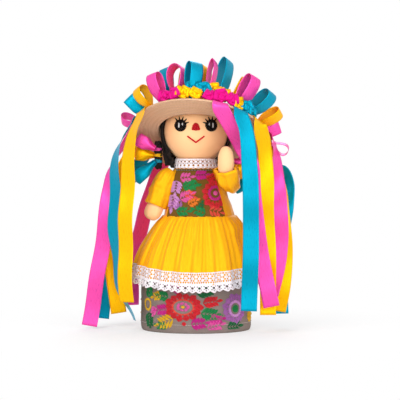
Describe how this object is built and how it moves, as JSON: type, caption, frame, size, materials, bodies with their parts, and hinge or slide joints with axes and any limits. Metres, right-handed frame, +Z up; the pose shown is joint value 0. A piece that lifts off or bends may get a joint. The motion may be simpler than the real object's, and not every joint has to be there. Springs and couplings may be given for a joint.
{
  "type": "rag doll",
  "caption": "Standing cloth doll on a weighted skirt column, with a raised arm, a gathered satin overskirt and a tilted straw hat dressed with ribbon loops and long hanging ribbons.",
  "frame": {"origin": "middle of the flat base that the doll stands on", "axes": "+Z up, the doll faces -Y, its own left hand is on the +X side"},
  "size_m": [0.2167, 0.133, 0.2778],
  "materials": {
    "card": "matte",
    "sand_bag": "matte",
    "embroidered_gauze": "matte",
    "embroidered_panel": "matte",
    "yellow_satin": "satin",
    "white_lace": "matte",
    "muslin": "matte",
    "dowel_wood": "matte",
    "skin_cloth": "matte",
    "black_thread": "satin",
    "red_thread": "satin",
    "black_yarn": "matte",
    "straw": "matte",
    "ribbon_flowers": "satin",
    "pink_ribbon": "satin",
    "blue_ribbon": "satin",
    "yellow_ribbon": "satin"
  },
  "bodies": {
    "stand": {"base_disc": "card", "core_tube": "card", "tube_lid": "card", "ballast_bag": "sand_bag", "underskirt": "embroidered_gauze", "torso": "muslin", "neck_dowel": "dowel_wood", "blouse": "yellow_satin", "bodice_panel": "embroidered_panel", "overskirt": "yellow_satin", "overskirt_lace": "white_lace", "lace_collar": "white_lace"},
    "head": {"head": "skin_cloth", "right_eye": "black_thread", "left_eye": "black_thread", "nose": "red_thread", "mouth": "red_thread", "hair_cap": "black_yarn", "straw_hat": "straw", "loop_01_pink": "pink_ribbon", "loop_02_blue": "blue_ribbon", "loop_03_yellow": "yellow_ribbon", "loop_04_pink": "pink_ribbon", "loop_05_blue": "blue_ribbon", "loop_06_pink": "pink_ribbon", "loop_07_yellow": "yellow_ribbon", "loop_08_blue": "blue_ribbon", "loop_09_yellow": "yellow_ribbon", "loop_10_pink": "pink_ribbon", "loop_11_blue": "blue_ribbon", "loop_12_yellow": "yellow_ribbon", "loop_13_pink": "pink_ribbon", "loop_14_blue": "blue_ribbon", "loop_15_yellow": "yellow_ribbon", "loop_16_pink": "pink_ribbon", "flower_garland": "ribbon_flowers"},
    "right_arm": {"right_arm": "skin_cloth", "right_sleeve": "yellow_satin"},
    "left_arm": {"left_arm": "skin_cloth", "left_sleeve": "yellow_satin"},
    "right_braid": {"right_braid": "black_yarn", "right_bow_pink": "pink_ribbon", "right_bow_yellow": "yellow_ribbon", "right_bow_blue": "blue_ribbon"},
    "left_braid": {"left_braid": "black_yarn", "left_bow_pink": "pink_ribbon", "left_bow_yellow": "yellow_ribbon", "left_bow_blue": "blue_ribbon"},
    "right_streamer_1": {"right_streamer_1": "yellow_ribbon"},
    "right_streamer_2": {"right_streamer_2": "blue_ribbon"},
    "right_streamer_3": {"right_streamer_3": "pink_ribbon"},
    "right_streamer_4": {"right_streamer_4": "yellow_ribbon"},
    "right_streamer_5": {"right_streamer_5": "blue_ribbon"},
    "right_streamer_6": {"right_streamer_6": "pink_ribbon"},
    "left_streamer_1": {"left_streamer_1": "pink_ribbon"},
    "left_streamer_2": {"left_streamer_2": "blue_ribbon"},
    "left_streamer_3": {"left_streamer_3": "yellow_ribbon"},
    "left_streamer_4": {"left_streamer_4": "pink_ribbon"},
    "left_streamer_5": {"left_streamer_5": "yellow_ribbon"},
    "left_streamer_6": {"left_streamer_6": "blue_ribbon"}
  },
  "joints": [
    {"name": "head_turn", "type": "hinge", "parent": "stand", "child": "head", "pos_m": [0, 0, 0.168], "axis": [0, 0, 1], "range_deg": [-2, 12], "stiffness_Nm_per_rad": 0.05},
    {"name": "right_shoulder_swing", "type": "hinge", "parent": "stand", "child": "right_arm", "pos_m": [-0.025, -0.004, 0.16], "axis": [-1, 0, 0], "range_deg": [-15, 30]},
    {"name": "left_shoulder_swing", "type": "hinge", "parent": "stand", "child": "left_arm", "pos_m": [0.025, -0.009, 0.159], "axis": [1, 0, 0], "range_deg": [-5, 18]},
    {"name": "right_braid_swing", "type": "hinge", "parent": "head", "child": "right_braid", "pos_m": [-0.03849, 0.003, 0.191], "axis": [0, 1, 0], "range_deg": [0, 8]},
    {"name": "left_braid_swing", "type": "hinge", "parent": "head", "child": "left_braid", "pos_m": [0.03284, 0.006, 0.18], "axis": [0, -1, 0], "range_deg": [0, 12]},
    {"name": "right_streamer_1_sway", "type": "hinge", "parent": "head", "child": "right_streamer_1", "pos_m": [-0.05377, -0.03148, 0.22288], "axis": [0, 1, 0], "range_deg": [0, 15]},
    {"name": "right_streamer_2_sway", "type": "hinge", "parent": "head", "child": "right_streamer_2", "pos_m": [-0.06303, -0.01217, 0.2126], "axis": [0, 1, 0], "range_deg": [0, 15]},
    {"name": "right_streamer_3_sway", "type": "hinge", "parent": "head", "child": "right_streamer_3", "pos_m": [-0.06492, 0.00606, 0.20181], "axis": [0, 1, 0], "range_deg": [0, 15]},
    {"name": "right_streamer_4_sway", "type": "hinge", "parent": "head", "child": "right_streamer_4", "pos_m": [-0.0606, 0.02354, 0.19049], "axis": [0, 1, 0], "range_deg": [0, 15]},
    {"name": "right_streamer_5_sway", "type": "hinge", "parent": "head", "child": "right_streamer_5", "pos_m": [-0.05043, 0.03874, 0.17963], "axis": [0, 1, 0], "range_deg": [0, 15]},
    {"name": "right_streamer_6_sway", "type": "hinge", "parent": "head", "child": "right_streamer_6", "pos_m": [-0.0343, 0.05089, 0.16969], "axis": [0, 1, 0], "range_deg": [0, 15]},
    {"name": "left_streamer_1_sway", "type": "hinge", "parent": "head", "child": "left_streamer_1", "pos_m": [0.02431, -0.06326, 0.22985], "axis": [0, -1, 0], "range_deg": [0, 5]},
    {"name": "left_streamer_2_sway", "type": "hinge", "parent": "head", "child": "left_streamer_2", "pos_m": [0.04421, -0.05723, 0.22302], "axis": [0, -1, 0], "range_deg": [0, 15]},
    {"name": "left_streamer_3_sway", "type": "hinge", "parent": "head", "child": "left_streamer_3", "pos_m": [0.06218, -0.04458, 0.21249], "axis": [0, -1, 0], "range_deg": [0, 15]},
    {"name": "left_streamer_4_sway", "type": "hinge", "parent": "head", "child": "left_streamer_4", "pos_m": [0.07563, -0.02158, 0.19636], "axis": [0, -1, 0], "range_deg": [0, 15]},
    {"name": "left_streamer_5_sway", "type": "hinge", "parent": "head", "child": "left_streamer_5", "pos_m": [0.07674, 0.00178, 0.18198], "axis": [0, -1, 0], "range_deg": [0, 15]},
    {"name": "left_streamer_6_sway", "type": "hinge", "parent": "head", "child": "left_streamer_6", "pos_m": [0.06821, 0.02354, 0.17009], "axis": [0, -1, 0], "range_deg": [0, 15]}
  ]
}
